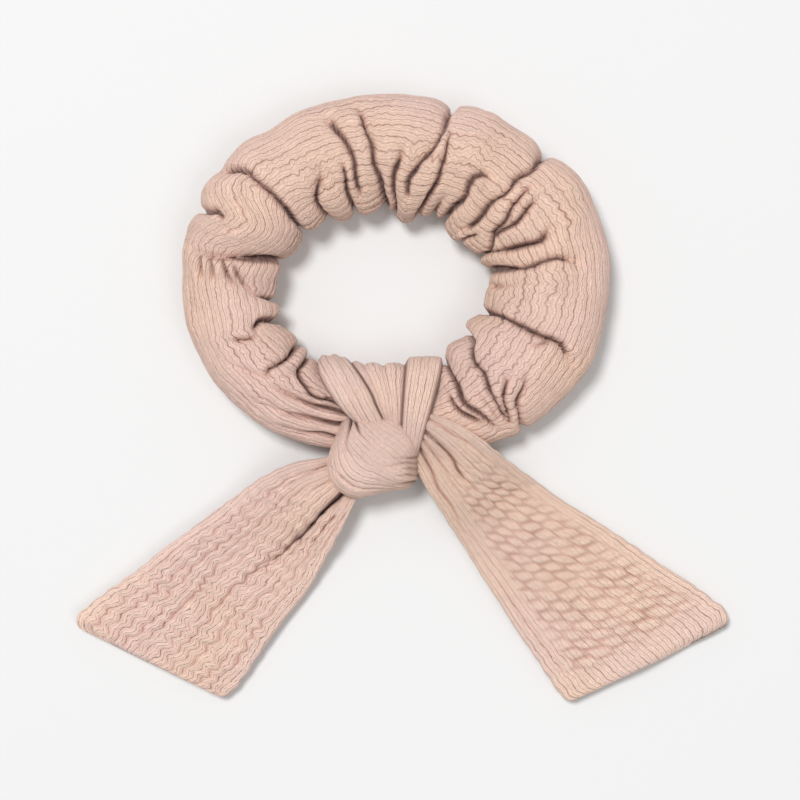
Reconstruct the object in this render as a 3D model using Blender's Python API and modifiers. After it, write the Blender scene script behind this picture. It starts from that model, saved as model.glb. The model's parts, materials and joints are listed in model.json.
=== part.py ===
"""Bow scrunchie: an elastic loop inside a gathered fabric sleeve, with a sash knotted round it.

It lies flat on a table, +Z up. The design is drawn round the centre of the ring, with the table at
Z 0 and the bow towards -Y. At the end the whole assembly is moved so that the origin is the
bottom centre of its bounding box.
"""

import math

import bmesh
import bpy
from mathutils import Vector

MM = 0.001

# Ring: the centreline of the gathered tube is an ellipse, seen from above.
RING_HALF_LENGTH = 41.5 * MM  # along X
RING_HALF_WIDTH = 34.5 * MM  # along Y
TUBE_HALF_WIDTH = 13.5 * MM  # half the tube's width, measured in the plane of the ring
TUBE_HALF_HEIGHT = 10.8 * MM
TUBE_CENTRE_HEIGHT = 9.0 * MM  # less than the half height, so the tube sits on a flat
SLEEVE_WALL = 1.2 * MM  # two layers of crushed knit, as gathers
GATHERS = 14
GATHER_DEPTH = 0.09  # share of the tube's width
SLEEVE_SEAM_GAP = 1.4 * MM  # between the sleeve's two ends, where the thread closes it
SLEEVE_STATIONS = 84
TUBE_RESOLUTION = 4  # the bevel resolution of the sleeve and the wrap
FACET_SHARE = math.cos(math.pi / (2 * TUBE_RESOLUTION + 4))  # a facet's middle, to a corner

# Sash: one sewn strip, tied round the ring at -Y.
BOW_ANGLE = math.radians(-94)  # where on the ring the sash is tied
WRAP_LENGTH = 30.0 * MM  # along the ring
WRAP_WALL = 1.6 * MM
WRAP_OUTER_HALF_WIDTH = 12.8 * MM
WRAP_OUTER_HALF_HEIGHT = 9.0 * MM
WAIST_TAPER = 9.0 * MM  # how far along the ring the pinched sleeve takes to fill out
WRAP_STATIONS = 15
KNOT_CENTRE = Vector((-5.2, -47.4, 10.2)) * MM
KNOT_HALF_SIZE = Vector((12.3, 9.8, 9.9)) * MM
KNOT_TILT = math.radians(-12)

# Tails: the sash's two loose ends, one drawn to each side of the bow.
TAIL_THICKNESS = 3.0 * MM
TAIL_ROOT_HALF_WIDTH = 6.0 * MM
TAIL_ROOT_HEIGHT = 9.5 * MM  # of the line that the tail hinges on
TAIL_DROP_LENGTH = 24.0 * MM  # from the knot to where the tail lies flat
TAIL_CORNER_RADIUS = 5.0 * MM
TAIL_LENGTH_CUTS = 12
TAIL_WIDTH_CUTS = 4
LEFT_TAIL = {
    "heading": math.radians(223.3),
    "offset": -3.1 * MM,  # of its middle line from the knot's centre
    "length": 67.0 * MM,
    "end_width": 42.0 * MM,
    "end_slant": math.radians(-19.5),
    "flare": 1.0,  # below 1, it widens early
}
RIGHT_TAIL = {
    "heading": math.radians(-39.6),
    "offset": 4.9 * MM,
    "length": 76.0 * MM,
    "end_width": 46.0 * MM,
    "end_slant": math.radians(22),
    "flare": 0.75,
}

# Elastic: a braided strip standing on edge inside the sleeve, its ends lapped and lashed.
ELASTIC_WIDTH = 5.0 * MM  # at most: it is narrower where the pinched sleeve leaves less room
ELASTIC_THICKNESS = 1.2 * MM
ELASTIC_INSET = 1.0 * MM  # towards the hole from the tube's centreline
ELASTIC_LAP = 12.0 * MM
ELASTIC_LAP_GAP = 0.3 * MM
ELASTIC_STATIONS = 72

# Thread
THREAD_RADIUS = 0.3 * MM
THREAD_ROOM = 1.6 * MM  # between the sleeve and the wrap, where the closing thread runs
LASHING_TURNS = 4
LASHING_LENGTH = 8.0 * MM
CLOSING_STITCHES = 15
CLOSING_STITCH_REACH = 2.0 * MM  # how far each stitch reaches past the seam

CLEARANCE = 0.35 * MM  # between pieces that touch


# Scene and materials


def clear_scene():
    for old in list(bpy.data.objects):
        bpy.data.objects.remove(old)


def make_collection(name):
    collection = bpy.data.collections.new(name)
    bpy.context.scene.collection.children.link(collection)
    return collection


def make_material(name, colour, roughness):
    material = bpy.data.materials.new(name)
    material.use_nodes = True
    shader = material.node_tree.nodes["Principled BSDF"]
    shader.inputs["Base Color"].default_value = (*colour, 1)
    shader.inputs["Roughness"].default_value = roughness
    shader.inputs["Metallic"].default_value = 0
    return material


def add_object(name, data, collection, material=None):
    added = bpy.data.objects.new(name, data)
    collection.objects.link(added)
    if material:
        added.data.materials.append(material)
    return added


def hide_as_cutter(cutter):
    cutter.hide_render = True
    cutter.display_type = "WIRE"


def shade_round(target):
    target.data.shade_smooth()
    target.data.set_sharp_from_angle(angle=math.radians(50))


# Curves and tubes


def poly_curve(points, radii, bevel_depth, bevel_resolution, caps, cyclic=False):
    """A POLY curve through points, as thick at each as its radius says."""
    curve = bpy.data.curves.new("line", "CURVE")
    curve.dimensions = "3D"
    curve.bevel_depth = bevel_depth
    curve.bevel_resolution = bevel_resolution
    curve.use_fill_caps = caps
    spline = curve.splines.new("POLY")
    spline.points.add(len(points) - 1)
    for knot, point, radius in zip(spline.points, points, radii):
        knot.co = (*point, 1)
        knot.radius = radius
    spline.use_cyclic_u = cyclic
    return curve


def mesh_from_curve(curve, weld_caps=False):
    """The curve's surface as a mesh. The curve is removed."""
    holder = bpy.data.objects.new("holder", curve)
    bpy.context.scene.collection.objects.link(holder)
    graph = bpy.context.evaluated_depsgraph_get()
    mesh = bpy.data.meshes.new_from_object(holder.evaluated_get(graph))
    bpy.data.objects.remove(holder)
    if weld_caps:
        shape = bmesh.new()
        shape.from_mesh(mesh)
        bmesh.ops.remove_doubles(shape, verts=shape.verts, dist=0.01 * MM)
        bmesh.ops.recalc_face_normals(shape, faces=shape.faces)
        shape.to_mesh(mesh)
        shape.free()
    return mesh


def ring_point(angle, inset=0.0):
    """A point on the tube's centreline, or that far inside it, at table level."""
    half_length = RING_HALF_LENGTH - inset
    half_width = RING_HALF_WIDTH - inset
    return Vector((half_length * math.cos(angle), half_width * math.sin(angle), 0))


def angle_step(angle, distance):
    """The angle reached from this one by going that far along the centreline."""
    speed = math.hypot(
        RING_HALF_LENGTH * math.sin(angle), RING_HALF_WIDTH * math.cos(angle)
    )
    return angle + distance / speed


def outward(angle):
    """The unit normal of the centreline, in the ring's plane."""
    across = Vector(
        (math.cos(angle) / RING_HALF_LENGTH, math.sin(angle) / RING_HALF_WIDTH, 0)
    )
    return across.normalized()


def oval_tube(angles, shares, half_width, half_height, caps, resolution):
    """A tube along the ring's centreline, half_width wide and half_height high where its share is 1."""
    points = [ring_point(angle) for angle in angles]
    curve = poly_curve(points, shares, half_width, resolution, caps)
    mesh = mesh_from_curve(curve, weld_caps=True)
    for vertex in mesh.vertices:
        vertex.co.z *= half_height / half_width
    return mesh


def set_on_table(mesh):
    """Lifts the tube to its height and flattens what would go below the table."""
    for vertex in mesh.vertices:
        vertex.co.z = max(vertex.co.z + TUBE_CENTRE_HEIGHT, 0)


def face_outward(mesh):
    """Turns an open tube's faces away from its own centreline."""
    shape = bmesh.new()
    shape.from_mesh(mesh)
    bmesh.ops.recalc_face_normals(shape, faces=shape.faces)
    shape.faces.ensure_lookup_table()
    face = max(shape.faces, key=lambda f: f.calc_center_median().z)
    if face.normal.z < 0:
        bmesh.ops.reverse_faces(shape, faces=shape.faces)
    shape.to_mesh(mesh)
    shape.free()


def thicken(target, wall, offset):
    shell = target.modifiers.new("Wall", "SOLIDIFY")
    shell.thickness = wall
    shell.offset = offset
    shell.use_even_offset = False


# Ring


def waist_share():
    """The sleeve's share of its full width where the wrap pinches it."""
    inside_width = WRAP_OUTER_HALF_WIDTH - WRAP_WALL - THREAD_ROOM
    inside_height = WRAP_OUTER_HALF_HEIGHT - WRAP_WALL - THREAD_ROOM
    return min(inside_width / TUBE_HALF_WIDTH, inside_height / TUBE_HALF_HEIGHT)


def sleeve_share(angle):
    """The sleeve's width at this angle, as a share of its full width."""
    turned = (angle - BOW_ANGLE + math.pi) % (2 * math.pi) - math.pi
    away = abs(turned) * (RING_HALF_LENGTH + RING_HALF_WIDTH) / 2
    filled = (away - WRAP_LENGTH / 2 - CLEARANCE) / WAIST_TAPER
    filled = min(max(filled, 0), 1)
    gathered = 1 - GATHER_DEPTH * abs(math.cos(GATHERS * turned / 2)) ** 6
    return waist_share() + (gathered - waist_share()) * math.sin(filled * math.pi / 2)


def build_sleeve(collection, fabric):
    """A long knit tube crushed onto the elastic, open where its two ends meet under the sash."""
    start = angle_step(BOW_ANGLE, SLEEVE_SEAM_GAP / 2)
    end = angle_step(BOW_ANGLE, -SLEEVE_SEAM_GAP / 2) + 2 * math.pi
    turn = (end - start) / SLEEVE_STATIONS
    angles = [start + turn * i for i in range(SLEEVE_STATIONS + 1)]
    shares = [sleeve_share(angle) for angle in angles]
    mesh = oval_tube(
        angles,
        shares,
        TUBE_HALF_WIDTH,
        TUBE_HALF_HEIGHT,
        False,
        TUBE_RESOLUTION,
    )
    set_on_table(mesh)
    face_outward(mesh)
    sleeve = add_object("sleeve", mesh, collection, fabric)
    thicken(sleeve, SLEEVE_WALL, -1)
    shade_round(sleeve)
    return sleeve


def elastic_width():
    """The elastic's width, as far as the pinched sleeve has room for it with the thread round it."""
    room_across = TUBE_HALF_WIDTH * waist_share() - SLEEVE_WALL
    room_up = (TUBE_HALF_HEIGHT * waist_share() - SLEEVE_WALL) * FACET_SHARE
    lashed_side = ELASTIC_INSET + ELASTIC_THICKNESS + CLEARANCE
    room_at_side = room_up * math.sqrt(1 - (lashed_side / room_across) ** 2)
    return min(ELASTIC_WIDTH, 2 * (room_at_side - 2 * THREAD_RADIUS - 2 * CLEARANCE))


def build_elastic(collection, rubber):
    """A strip on edge that goes once round and laps outside its own start."""
    reach = ELASTIC_LAP / 2
    start = angle_step(BOW_ANGLE, -reach)
    end = angle_step(BOW_ANGLE, reach) + 2 * math.pi
    step_out = ELASTIC_THICKNESS + ELASTIC_LAP_GAP
    inner_side, outer_side = [], []
    for i in range(ELASTIC_STATIONS + 1):
        angle = start + (end - start) * i / ELASTIC_STATIONS
        to_lap = (end - angle) * RING_HALF_LENGTH - ELASTIC_LAP
        rise = min(max(1 - to_lap / ELASTIC_LAP, 0), 1)
        rise = rise * rise * (3 - 2 * rise)
        middle = ring_point(angle, ELASTIC_INSET) + outward(angle) * step_out * rise
        inner_side.append(middle - outward(angle) * ELASTIC_THICKNESS / 2)
        outer_side.append(middle + outward(angle) * ELASTIC_THICKNESS / 2)
    outline = bpy.data.curves.new("elastic_outline", "CURVE")
    outline.dimensions = "2D"
    outline.fill_mode = "BOTH"
    outline.extrude = elastic_width() / 2
    spline = outline.splines.new("POLY")
    corners = inner_side + outer_side[::-1]
    spline.points.add(len(corners) - 1)
    for knot, corner in zip(spline.points, corners):
        knot.co = (*corner, 1)
    spline.use_cyclic_u = True
    elastic = add_object("elastic_band", outline, collection, rubber)
    elastic.location.z = TUBE_CENTRE_HEIGHT
    return elastic


def build_elastic_thread(collection, thread):
    """One thread lashed round both layers of the elastic's lap."""
    loop_half_width = ELASTIC_THICKNESS + ELASTIC_LAP_GAP / 2 + CLEARANCE + THREAD_RADIUS
    loop_half_height = elastic_width() / 2 + CLEARANCE + THREAD_RADIUS
    lap_middle = (ELASTIC_THICKNESS + ELASTIC_LAP_GAP) / 2
    sides = 8
    corners = [(-1, -1), (0, -1), (1, -1), (1, 0), (1, 1), (0, 1), (-1, 1), (-1, 0)]
    count = LASHING_TURNS * sides
    points = []
    for i in range(count + 1):
        along = (i / count - 0.5) * LASHING_LENGTH
        angle = angle_step(BOW_ANGLE, along)
        across, up = corners[i % sides]
        point = ring_point(angle, ELASTIC_INSET)
        point = point + outward(angle) * (lap_middle + across * loop_half_width)
        points.append(point + Vector((0, 0, up * loop_half_height)))
    curve = poly_curve(points, [1] * len(points), THREAD_RADIUS, 1, True)
    lashing = add_object("elastic_join_thread", curve, collection, thread)
    lashing.location.z = TUBE_CENTRE_HEIGHT
    return lashing


def build_closing_thread(collection, thread):
    """One thread that zigzags round the sleeve, over the seam that joins its two ends."""
    lift = CLEARANCE + THREAD_RADIUS
    half_width = TUBE_HALF_WIDTH * waist_share() + lift
    half_height = TUBE_HALF_HEIGHT * waist_share() + lift
    count = 2 * CLOSING_STITCHES
    points = []
    for i in range(count):
        turn = 2 * math.pi * i / count
        reach = CLOSING_STITCH_REACH if i % 2 else -CLOSING_STITCH_REACH
        angle = angle_step(BOW_ANGLE, reach)
        point = ring_point(angle) + outward(angle) * half_width * math.cos(turn)
        height = TUBE_CENTRE_HEIGHT + half_height * math.sin(turn)
        points.append(point + Vector((0, 0, height)))
    curve = poly_curve(points, [1] * count, THREAD_RADIUS, 1, False, cyclic=True)
    return add_object("sleeve_closing_thread", curve, collection, thread)


# Sash


def wrap_angles(extra=0.0):
    """Stations along the ring across the wrap, and that much further at each end."""
    reach = WRAP_LENGTH / 2 + extra
    steps = WRAP_STATIONS - 1
    return [
        angle_step(BOW_ANGLE, -reach + 2 * reach * i / steps)
        for i in range(WRAP_STATIONS)
    ]


def build_wrap(collection, fabric):
    """The sash's turns round the ring, as one collar round the pinched sleeve."""
    mesh = oval_tube(
        wrap_angles(),
        [1] * WRAP_STATIONS,
        WRAP_OUTER_HALF_WIDTH,
        WRAP_OUTER_HALF_HEIGHT,
        False,
        TUBE_RESOLUTION,
    )
    set_on_table(mesh)
    face_outward(mesh)
    wrap = add_object("sash_wrap", mesh, collection, fabric)
    thicken(wrap, WRAP_WALL, -1)
    shade_round(wrap)
    return wrap


def build_wrap_cutter(collection):
    """The wrap's outside with clearance, as a solid, for the knot to be seated on."""
    cutter = add_object(
        "wrap_cutter",
        oval_tube(
            wrap_angles(extra=CLEARANCE),
            [1] * WRAP_STATIONS,
            WRAP_OUTER_HALF_WIDTH + CLEARANCE,
            WRAP_OUTER_HALF_HEIGHT + CLEARANCE,
            True,
            TUBE_RESOLUTION,
        ),
        collection,
    )
    cutter.location.z = TUBE_CENTRE_HEIGHT
    hide_as_cutter(cutter)
    return cutter


def build_knot(collection, cutter, fabric):
    """The overhand knot that draws the wrap together, seated against it."""
    shape = bmesh.new()
    bmesh.ops.create_uvsphere(shape, u_segments=24, v_segments=14, radius=1)
    bmesh.ops.scale(shape, vec=KNOT_HALF_SIZE, verts=shape.verts)
    mesh = bpy.data.meshes.new("knot")
    shape.to_mesh(mesh)
    shape.free()
    knot = add_object("sash_knot", mesh, collection, fabric)
    knot.location = KNOT_CENTRE
    knot.rotation_euler.z = KNOT_TILT
    seat = knot.modifiers.new("Seat", "BOOLEAN")
    seat.operation = "DIFFERENCE"
    seat.object = cutter
    shade_round(knot)
    return knot


def tail_drop(distance):
    """How far the middle of the tail has dropped below its hinge line, that far from it."""
    fallen = min(distance / TAIL_DROP_LENGTH, 1)
    whole = TAIL_ROOT_HEIGHT - TAIL_THICKNESS / 2
    return whole * (1 - math.cos(math.pi * fallen)) / 2


def tail_root(tail):
    """The middle of the tail's hinge line, where the lifted tail still clears the knot."""
    along = Vector((math.cos(tail["heading"]), math.sin(tail["heading"]), 0))
    across = Vector((-along.y, along.x, 0))
    turned = tail["heading"] - KNOT_TILT
    knot_reach = math.hypot(
        KNOT_HALF_SIZE.x * math.cos(turned), KNOT_HALF_SIZE.y * math.sin(turned)
    )
    reach = knot_reach + TAIL_THICKNESS / 2 + CLEARANCE
    middle = Vector((KNOT_CENTRE.x, KNOT_CENTRE.y, TAIL_ROOT_HEIGHT))
    return middle + along * reach + across * tail["offset"]


def build_tail(name, tail, collection, fabric):
    """A flat end of the sash, narrow and raised at the knot, with a slanted end with round corners.

    Its own origin is on the hinge line at the knot, and its own +X runs along it.
    """
    shape = bmesh.new()
    bmesh.ops.create_grid(
        shape,
        x_segments=TAIL_LENGTH_CUTS,
        y_segments=TAIL_WIDTH_CUTS,
        size=1,
    )
    half_end = tail["end_width"] / 2
    for vertex in shape.verts:
        share = (vertex.co.x + 1) / 2
        side = vertex.co.y
        flared = (half_end - TAIL_ROOT_HALF_WIDTH) * share ** tail["flare"]
        half_width = TAIL_ROOT_HALF_WIDTH + flared
        across = side * half_width
        slanted = across * math.tan(tail["end_slant"]) * share
        rounded = TAIL_CORNER_RADIUS * (1 - math.sqrt(1 - side**8)) * share**6
        distance = tail["length"] * share - rounded
        vertex.co = Vector((distance + slanted, across, -tail_drop(distance)))
    bmesh.ops.recalc_face_normals(shape, faces=shape.faces)
    mesh = bpy.data.meshes.new(name)
    shape.to_mesh(mesh)
    shape.free()
    strip = add_object(name, mesh, collection, fabric)
    thicken(strip, TAIL_THICKNESS, 0)
    strip.location = tail_root(tail)
    strip.rotation_euler.z = tail["heading"]
    shade_round(strip)
    return strip


# Assembly


def centre_on_footprint(parts, cutters):
    """Moves everything so that the origin is the bottom centre of the bounding box."""
    bpy.context.view_layer.update()
    graph = bpy.context.evaluated_depsgraph_get()
    points = []
    for part in parts:
        placed = part.evaluated_get(graph)
        surface = bpy.data.meshes.new_from_object(placed)
        points += [placed.matrix_world @ vertex.co for vertex in surface.vertices]
        bpy.data.meshes.remove(surface)
    low = Vector([min(point[k] for point in points) for k in range(3)])
    high = Vector([max(point[k] for point in points) for k in range(3)])
    stand = bpy.data.objects.new("ring_centre", None)
    bpy.context.scene.collection.objects.link(stand)
    for part in [*parts, *cutters]:
        part.parent = stand
    stand.location = (-(low.x + high.x) / 2, -(low.y + high.y) / 2, -low.z)


def main():
    clear_scene()
    scrunchie = make_collection("bow_scrunchie")
    helpers = make_collection("cutters")
    fabric = make_material("blush_knit", (0.72, 0.47, 0.39), 0.85)
    rubber = make_material("ivory_elastic", (0.80, 0.77, 0.70), 0.6)
    thread = make_material("blush_thread", (0.66, 0.42, 0.35), 0.5)
    cutter = build_wrap_cutter(helpers)
    parts = [
        build_sleeve(scrunchie, fabric),
        build_elastic(scrunchie, rubber),
        build_elastic_thread(scrunchie, thread),
        build_closing_thread(scrunchie, thread),
        build_wrap(scrunchie, fabric),
        build_knot(scrunchie, cutter, fabric),
        build_tail("sash_tail_left", LEFT_TAIL, scrunchie, fabric),
        build_tail("sash_tail_right", RIGHT_TAIL, scrunchie, fabric),
    ]
    centre_on_footprint(parts, [cutter])


main()
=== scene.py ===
"""Bow scrunchie: the cloth, elastic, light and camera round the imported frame.

Every soft piece is a grid of points worked out with numpy: first its large shape, then its folds,
then the ribs of its knit. A grid's rows follow each other along the piece and its columns round it.
Lengths are in millimetres until a mesh is made. In the knit, u runs along the ribs and v across them.
"""

import json
import math

import bmesh
import bpy
import numpy as np
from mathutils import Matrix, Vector


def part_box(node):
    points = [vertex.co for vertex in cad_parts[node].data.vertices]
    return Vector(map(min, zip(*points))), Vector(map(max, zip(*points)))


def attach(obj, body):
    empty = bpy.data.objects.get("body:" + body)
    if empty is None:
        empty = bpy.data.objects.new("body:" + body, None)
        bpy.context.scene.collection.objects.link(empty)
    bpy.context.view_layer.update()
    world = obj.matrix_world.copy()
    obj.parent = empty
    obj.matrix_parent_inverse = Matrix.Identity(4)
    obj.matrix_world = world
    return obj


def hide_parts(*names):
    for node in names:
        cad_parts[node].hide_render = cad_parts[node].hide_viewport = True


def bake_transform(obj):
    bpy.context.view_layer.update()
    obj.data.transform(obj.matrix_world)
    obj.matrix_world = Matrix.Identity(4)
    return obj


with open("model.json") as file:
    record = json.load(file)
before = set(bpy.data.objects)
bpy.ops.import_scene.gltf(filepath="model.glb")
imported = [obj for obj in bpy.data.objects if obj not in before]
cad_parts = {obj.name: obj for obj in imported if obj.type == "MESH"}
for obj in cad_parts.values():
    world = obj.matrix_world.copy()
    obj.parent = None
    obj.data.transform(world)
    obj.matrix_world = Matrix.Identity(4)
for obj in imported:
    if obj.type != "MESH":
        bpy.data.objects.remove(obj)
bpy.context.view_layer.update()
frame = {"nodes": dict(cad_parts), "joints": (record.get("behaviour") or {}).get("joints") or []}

MM = 0.001
NODE_BOX = {name: np.array(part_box(name)) / MM for name in frame["nodes"]}
JOINTS = {joint["name"]: joint for joint in frame["joints"]}

# The knit
RIB_PITCH = 1.2
GROOVE_PITCH = 2 * RIB_PITCH
GROOVE_WIDTH = 0.32
CLOTH_THICKNESS = 0.8
GAP_WIDTH = 0.5  # half of the narrow gap where two rolls of cloth meet
GAP_DEPTH = 2.0  # at most
ROLL_DEPTH = 0.55  # of a fold's width: what is deeper than this is gap
TABLE_CLEARANCE = 0.15
UV_MM = 100  # one unit of the meshes' UV coordinates

# The ring, seen from above. Angles are in degrees round its centre, from +X towards +Y.
SLEEVE_LOW, SLEEVE_HIGH = NODE_BOX["sleeve"]
CENTRE_TO_FAR_EDGE = 47.8
RING_CENTRE = np.array([(SLEEVE_LOW[0] + SLEEVE_HIGH[0]) / 2, SLEEVE_HIGH[1] - CENTRE_TO_FAR_EDGE])
BOW_ANGLE = 266.0
TUBE_AXIS_HEIGHT = 9.0
TUBE_ROUNDNESS = (0.86, 0.92)  # powers, across and up: below 1 a circle swells towards a square
RIBS_ROUND_SLEEVE = 64
SLEEVE_ROWS = 470
SLEEVE_TOP_COLUMNS = 150
SLEEVE_UNDER_COLUMNS = 40

# Where the gathered tube begins and ends on a ray from the ring's centre: (angle, hole side, outside)
RING_OUTLINE = (
    (0, 25, 55.6), (10, 22.8, 55.6), (20, 22, 55.2), (30, 18.6, 54.4), (40, 18.6, 52),
    (50, 20, 49.8), (60, 18.6, 49.2), (70, 15.6, 48.4), (80, 14.6, 47.6), (90, 16.2, 47.6),
    (100, 18.8, 47.4), (110, 18.2, 48.6), (120, 19.2, 49.2), (130, 19.2, 50), (140, 22.8, 52),
    (150, 25.4, 53.6), (160, 25.6, 54.4), (170, 27.5, 54.4), (180, 30.8, 54.4), (190, 29.9, 54),
    (200, 31, 53.8), (210, 28.8, 53), (220, 28.4, 51.2), (230, 28.8, 50), (240, 28.4, 48),
    (250, 27.6, 46), (258, 27.5, 43.2), (266, 27.5, 41.6), (274, 27.5, 42.2), (282, 27.4, 44.6),
    (290, 27, 46.6), (300, 24.6, 48.8), (310, 21.6, 51.4), (320, 22.8, 52.6), (330, 21.8, 54.2),
    (340, 23, 55.1), (350, 24.4, 55.5),
)
# How high the tube's bottom and top are: (angle, bottom, top)
RING_HEIGHTS = (
    (0, 0.3, 18.6), (30, 0.3, 18.4), (60, 0.3, 18.8), (90, 0.3, 18.4), (120, 0.3, 18.6),
    (150, 0.3, 19.2), (170, 0.3, 19.4), (185, 0.3, 17.6), (210, 0.3, 17.8), (230, 0.3, 17),
    (244, 0.6, 15.2), (252, 1.6, 13.8), (262, 3.3, 13.4), (272, 3.3, 13.4), (280, 2, 13.8),
    (290, 0.8, 15), (300, 0.3, 16.6), (315, 0.3, 17.6), (335, 0.3, 18.4),
)

# Folds: width and lean in mm, then points (angle, share of the way from hole to outside, depth in mm).
# A positive lean lifts the cloth to the left of the fold and lowers it to the right.
SLEEVE_FOLDS = (
    # round the big fold at the left
    (3.4, 0.9, ((147, 0.97, 2), (144, 0.76, 6), (146, 0.35, 6), (151, 0.03, 5), (152, -0.4, 3))),
    (3.4, 0.0, ((160, 1.25, 9), (160, 0.89, 8), (159, 0.78, 5.5), (161, 0.68, 1))),
    (6.0, 0.0, ((160, 1.3, 3.4), (160, 0.96, 3), (160, 0.86, 0.4))),
    (4.2, -1.4, ((174, 0.97, 0), (173, 0.85, 2.2), (174, 0.6, 3), (173, 0.3, 3.6), (172, -0.4, 4))),
    (1.8, 0.0, ((174, 0.84, 2), (179, 0.77, 1.4), (181, 0.76, 0))),
    (1.8, 0.0, ((174, 0.72, 2), (179, 0.66, 1.6), (183, 0.6, 0))),
    (2.2, 0.0, ((174, 0.58, 2.2), (179, 0.48, 2.2), (185, 0.36, 0.6))),
    (2.2, 0.0, ((175, 0.44, 1.5), (181, 0.32, 2), (187, 0.2, 1.2))),
    # left side, down to the bow
    (3.0, 0.6, ((190, -0.4, 3), (190, 0, 3.4), (188, 0.16, 2), (187, 0.3, 0))),
    (3.0, -0.6, ((199, -0.4, 4.5), (199, 0, 5), (198, 0.2, 4), (200, 0.3, 0.6))),
    (2.6, 0.5, ((201, 0.64, 0.4), (202, 0.5, 2.4), (203, 0.36, 2.6), (202, 0.24, 0.8))),
    (3.2, 0.8, ((214, -0.4, 4), (215, 0.03, 4.5), (217, 0.25, 3.6), (216, 0.46, 3), (221, 0.58, 0.4))),
    (2.6, 0.4, ((222, 0.02, 2.6), (226, 0.22, 3.2), (235, 0.33, 3.4), (243, 0.34, 3), (252, 0.4, 2))),
    (2.4, 0.0, ((216, 0.62, 0), (225, 0.54, 1.6), (236, 0.46, 2.4), (250, 0.48, 3.4), (258, 0.5, 2))),
    (2.4, 0.0, ((218, 0.82, 0), (230, 0.74, 1.4), (240, 0.66, 2.2), (251, 0.66, 3), (258, 0.6, 2))),
    (2.2, 0.0, ((228, 0.96, 0), (240, 0.9, 1.6), (251, 0.86, 2.6))),
    (2.0, 0.0, ((206, 0.74, 0), (212, 0.66, 1.2), (219, 0.5, 1))),
    # over the top
    (3.2, 0.0, ((120, 0.52, 0), (125, 0.42, 1.8), (134, 0.22, 5.4), (138, 0, 6.5), (139, -0.4, 5))),
    (2.4, 0.0, ((113, 0.45, 1.2), (115, 0.32, 3.4), (119, 0.1, 4.2), (120, -0.4, 3.5))),
    (2.9, 0.7, ((113, 0.86, 0.4), (111, 0.77, 3.6), (108, 0.52, 5.6), (109, 0.32, 5.4), (111, 0.14, 2.2))),
    (2.8, -0.6, (
        (102, 0.9, 0), (101, 0.8, 3.8), (100, 0.6, 5.4), (99, 0.4, 5), (98, 0.1, 4.6), (98, -0.4, 4),
    )),
    (3.0, 0.0, ((82, 0.62, 0), (86, 0.5, 2.2), (89, 0.36, 3.6), (92, 0.1, 4.2), (93, -0.4, 4))),
    (3.0, 0.9, (
        (71, 1.3, 6), (71, 0.95, 6), (71, 0.76, 5.8), (73, 0.56, 5.4), (79, 0.36, 5.2), (81, 0.18, 2.4),
    )),
    (5.0, 0.0, ((71, 1.3, 3), (71, 0.96, 2.6), (71, 0.84, 0.4))),
    (2.6, 0.0, ((68, 0.72, 2), (67, 0.5, 4.2), (66, 0.3, 4), (65, 0.05, 4.6), (64, -0.4, 4))),
    (2.8, 0.9, (
        (45, 0.5, 0.4), (49, 0.5, 3), (51, 0.42, 4.8), (48, 0.24, 3.6), (50, 0.02, 3.8), (51, -0.4, 3.5),
    )),
    (3.0, 0.0, ((57, 0.14, 1), (57, 0, 2.4), (57, -0.4, 2.4))),
    # upper right
    (6.0, 0.0, ((40, 1.3, 3.6), (39, 0.96, 3.2), (38, 0.84, 0.6))),
    (3.0, 0.9, (
        (40, 1.3, 6), (39, 0.93, 6), (38, 0.7, 5.4), (37, 0.45, 5.4), (35, 0.22, 5), (35, 0.08, 1.8),
    )),
    (2.6, 0.4, ((34, 0.72, 1), (31, 0.48, 4), (26, 0.32, 4), (22, 0.16, 4.4), (15, 0.06, 4), (13, -0.4, 4))),
    (2.4, 0.0, ((29, 0.68, 0.4), (27, 0.52, 3.8), (24, 0.34, 3.6), (22, 0.2, 2.4))),
    (3.2, 0.0, ((27, 0.1, 2.4), (28, -0.05, 3.6), (29, -0.4, 3.4))),
    (3.0, -0.8, ((18, 0.64, 0.4), (15, 0.52, 3), (14, 0.38, 3.4), (15, 0.14, 2.6), (14, 0.02, 1.4))),
    (3.4, 0.9, (
        (3, 0.8, 0), (6, 0.66, 2.6), (7, 0.54, 3.8), (5, 0.38, 3.2), (4, 0.02, 3.8), (4, -0.4, 3.6),
    )),
    (2.4, 0.0, ((357, 0.04, 2), (356, 0.2, 1.2), (357, 0.3, 0))),
    # right side, down to the bow
    (3.6, 1.0, (
        (343, -0.4, 4), (342, 0.03, 4.4), (340, 0.28, 4.8), (339, 0.5, 5.6), (339, 0.7, 5.6),
        (335, 0.86, 1.2),
    )),
    (2.2, 0.0, ((338, 0.62, 2.2), (335, 0.55, 1.6), (332, 0.4, 0))),
    (2.4, 0.0, ((326, 0.62, 0), (322, 0.66, 1.8), (317, 0.72, 2.6), (312, 0.92, 2.2), (311, 1.2, 2))),
    (3.2, 1.0, (
        (325, -0.4, 5), (323, 0.06, 5), (315, 0.22, 5.6), (313, 0.39, 6), (310, 0.64, 5.4),
        (308, 0.86, 1.6),
    )),
    (2.4, 0.0, ((321, 0.5, 0), (317, 0.56, 2.4), (313, 0.68, 3.2), (309, 0.86, 2.4))),
    (2.8, -0.5, (
        (303, -0.4, 4), (301, 0.04, 4), (300, 0.36, 3.8), (301, 0.57, 3.6), (303, 0.8, 3), (305, 0.92, 1),
    )),
    (2.0, 0.0, ((307, 0.3, 0), (306, 0.5, 1.4), (306, 0.72, 1.6), (306, 0.9, 1))),
    (2.2, 0.0, ((295, 0.3, 1.4), (296, 0.46, 3.4), (299, 0.66, 3), (302, 0.84, 1))),
)
FOLD_WIDENING = 1.15
FOLD_DEEPENING = 1.25
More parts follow.
